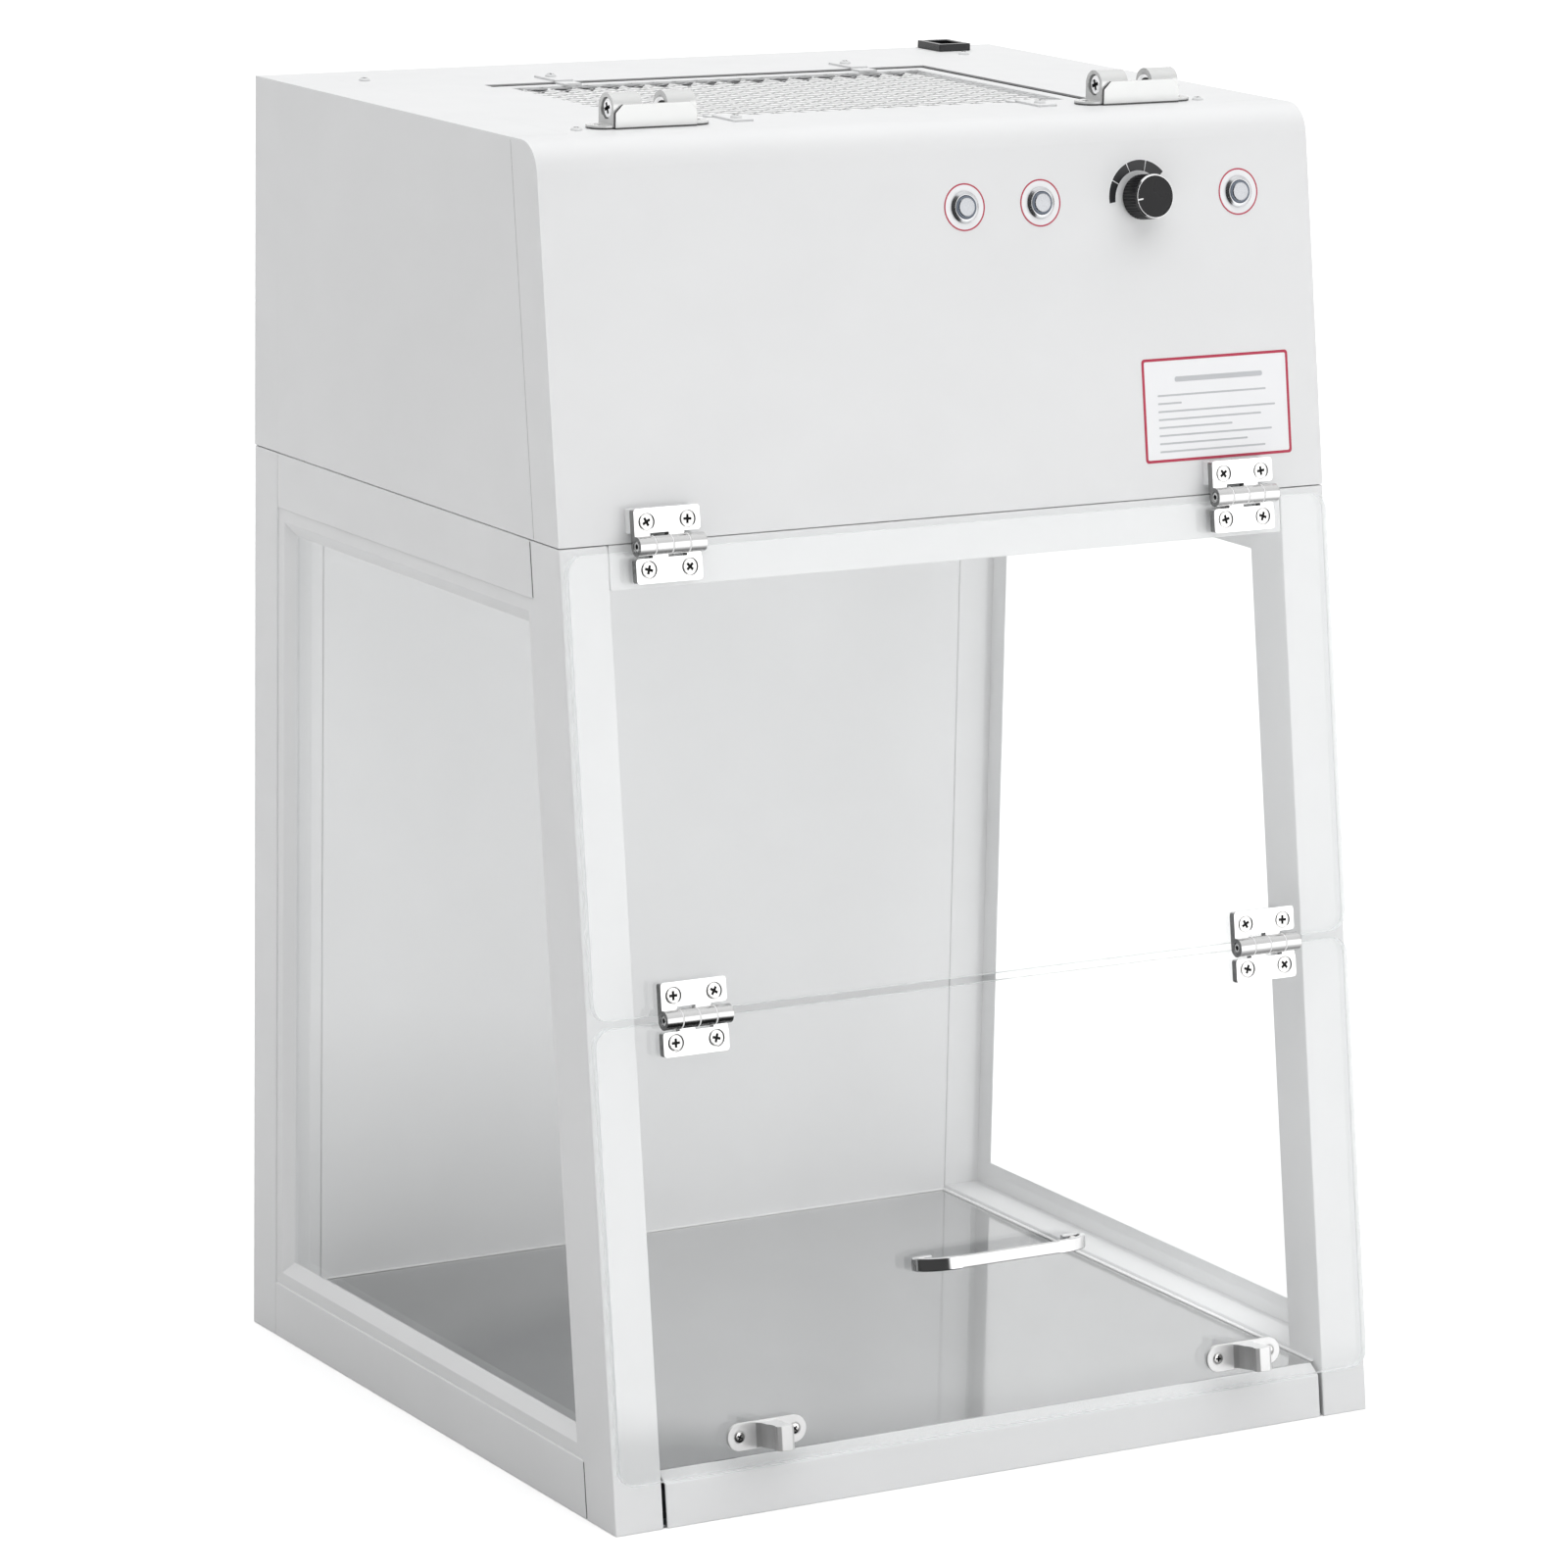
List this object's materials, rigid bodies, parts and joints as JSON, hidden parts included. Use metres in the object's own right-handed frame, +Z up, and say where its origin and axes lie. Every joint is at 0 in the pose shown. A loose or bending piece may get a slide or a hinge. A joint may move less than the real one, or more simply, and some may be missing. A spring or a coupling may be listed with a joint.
{
  "type": "laminar flow hood",
  "caption": "Bench-top white steel clean-air hood with a sloping folding clear sash, side windows, steel work surface, and a fan and filter cabinet on top.",
  "frame": {"origin": "middle of the foot, on the surface that the hood stands on", "axes": "+Z up, +Y from the sash to the back, +X to the user's right"},
  "size_m": [0.5, 0.4754, 0.7692],
  "materials": {
    "acrylic": "clear",
    "ball_steel": "polished",
    "black_plastic": "moulded",
    "board": "lacquered",
    "button_steel": "polished",
    "cable_jacket": "matte",
    "catch_nickel": "satin nickel",
    "filter_aluminium": "extruded",
    "filter_media": "fibrous",
    "floor_steel": "satin, reflective",
    "galvanised": "galvanised",
    "handle_chrome": "polished",
    "hinge_steel": "satin",
    "knob_black": "moulded, knurled",
    "label_film": "printed film",
    "lamp_diffuser": "frosted",
    "lamp_glass": "clear",
    "mesh_wire": "zinc plated",
    "motor_iron": "machined",
    "screw_steel": "nickel plated",
    "stainless": "brushed",
    "supply_case": "pressed",
    "wheel_paint": "satin",
    "white_enamel": "semi-gloss powder coat"
  },
  "bodies": {
    "cabinet": {"cabinet_front": "white_enamel", "cabinet_side_left": "white_enamel", "cabinet_side_right": "white_enamel", "cabinet_back": "white_enamel", "top_lid": "white_enamel", "cabinet_deck": "white_enamel", "prefilter_frame": "filter_aluminium", "prefilter_mesh": "mesh_wire", "prefilter_media": "filter_media", "filter_clips": "mesh_wire", "fan_plate": "galvanised", "motor_bracket": "galvanised", "motor_stator": "motor_iron", "hepa_frame": "filter_aluminium", "hepa_media": "filter_media", "diffuser_grille": "stainless", "lamp_holder": "white_enamel", "uv_tube": "lamp_glass", "led_bar": "lamp_diffuser", "power_supply": "supply_case", "wiring": "cable_jacket", "speed_controller": "board", "switch_barrels": "button_steel", "front_labels": "label_film", "power_inlet": "black_plastic", "front_posts": "white_enamel", "rear_posts": "white_enamel", "side_rails": "white_enamel", "front_rail_top": "white_enamel", "front_rail_bottom": "white_enamel", "back_wall": "white_enamel", "window_frames": "white_enamel", "side_windows": "acrylic", "work_surface": "floor_steel", "base_pan": "galvanised", "cabinet_hinge_leaves": "hinge_steel", "hinge_spacers": "white_enamel", "upper_hinge_pins": "hinge_steel", "catch_frames": "catch_nickel", "catch_adjusters": "catch_nickel", "cabinet_screws": "screw_steel"},
    "upper_leaf": {"sash_upper": "acrylic", "sash_upper_leaves": "hinge_steel", "lower_hinge_pins": "hinge_steel", "sash_upper_screws": "screw_steel"},
    "lower_leaf": {"sash_lower": "acrylic", "sash_lower_leaves": "hinge_steel", "handle": "handle_chrome", "strikes": "catch_nickel", "sash_lower_screws": "screw_steel"},
    "knob": {"speed_knob": "knob_black", "speed_shaft": "button_steel"},
    "light_switch": {"light_button": "button_steel"},
    "sterilizer_switch": {"sterilizer_button": "button_steel"},
    "power_switch": {"power_button": "button_steel"},
    "fan_wheel": {"impeller": "wheel_paint"},
    "catch_ball_1": {"ball_left_outer": "ball_steel"},
    "catch_ball_2": {"ball_left_inner": "ball_steel"},
    "catch_ball_3": {"ball_right_inner": "ball_steel"},
    "catch_ball_4": {"ball_right_outer": "ball_steel"}
  },
  "joints": [
    {"name": "sash_lift", "type": "hinge", "parent": "cabinet", "child": "upper_leaf", "pos_m": [0, -0.15764, 0.53438], "axis": [-1, 0, 0], "range_deg": [0, 136.88]},
    {"name": "sash_fold", "type": "hinge", "parent": "upper_leaf", "child": "lower_leaf", "pos_m": [0, -0.19508, 0.27911], "axis": [-1, 0, 0], "range_deg": [0, 118.54]},
    {"name": "speed_turn", "type": "hinge", "parent": "cabinet", "child": "knob", "pos_m": [0.1345, -0.1219, 0.70298], "axis": [0, 0.9894, -0.1451], "range_deg": [0, 148]},
    {"name": "light_press", "type": "slide", "parent": "cabinet", "child": "light_switch", "axis": [0, 0.9894, -0.1451], "range_m": [0, 0.002], "stiffness_N_per_m": 1200, "springref_m": -0.001},
    {"name": "sterilizer_press", "type": "slide", "parent": "cabinet", "child": "sterilizer_switch", "axis": [0, 0.9894, -0.1451], "range_m": [0, 0.002], "stiffness_N_per_m": 1200, "springref_m": -0.001},
    {"name": "power_press", "type": "slide", "parent": "cabinet", "child": "power_switch", "axis": [0, 0.9894, -0.1451], "range_m": [0, 0.002], "stiffness_N_per_m": 1200, "springref_m": -0.001},
    {"name": "fan_spin", "type": "hinge", "parent": "cabinet", "child": "fan_wheel", "pos_m": [0, 0.045, 0.62], "axis": [0, 0, 1], "continuous": true},
    {"name": "ball_1_press", "type": "slide", "parent": "cabinet", "child": "catch_ball_1", "axis": [-1, 0, 0], "range_m": [0, 0.0012], "stiffness_N_per_m": 3000, "springref_m": -0.001},
    {"name": "ball_2_press", "type": "slide", "parent": "cabinet", "child": "catch_ball_2", "axis": [1, 0, 0], "range_m": [0, 0.0012], "stiffness_N_per_m": 3000, "springref_m": -0.001},
    {"name": "ball_3_press", "type": "slide", "parent": "cabinet", "child": "catch_ball_3", "axis": [-1, 0, 0], "range_m": [0, 0.0012], "stiffness_N_per_m": 3000, "springref_m": -0.001},
    {"name": "ball_4_press", "type": "slide", "parent": "cabinet", "child": "catch_ball_4", "axis": [1, 0, 0], "range_m": [0, 0.0012], "stiffness_N_per_m": 3000, "springref_m": -0.001}
  ]
}
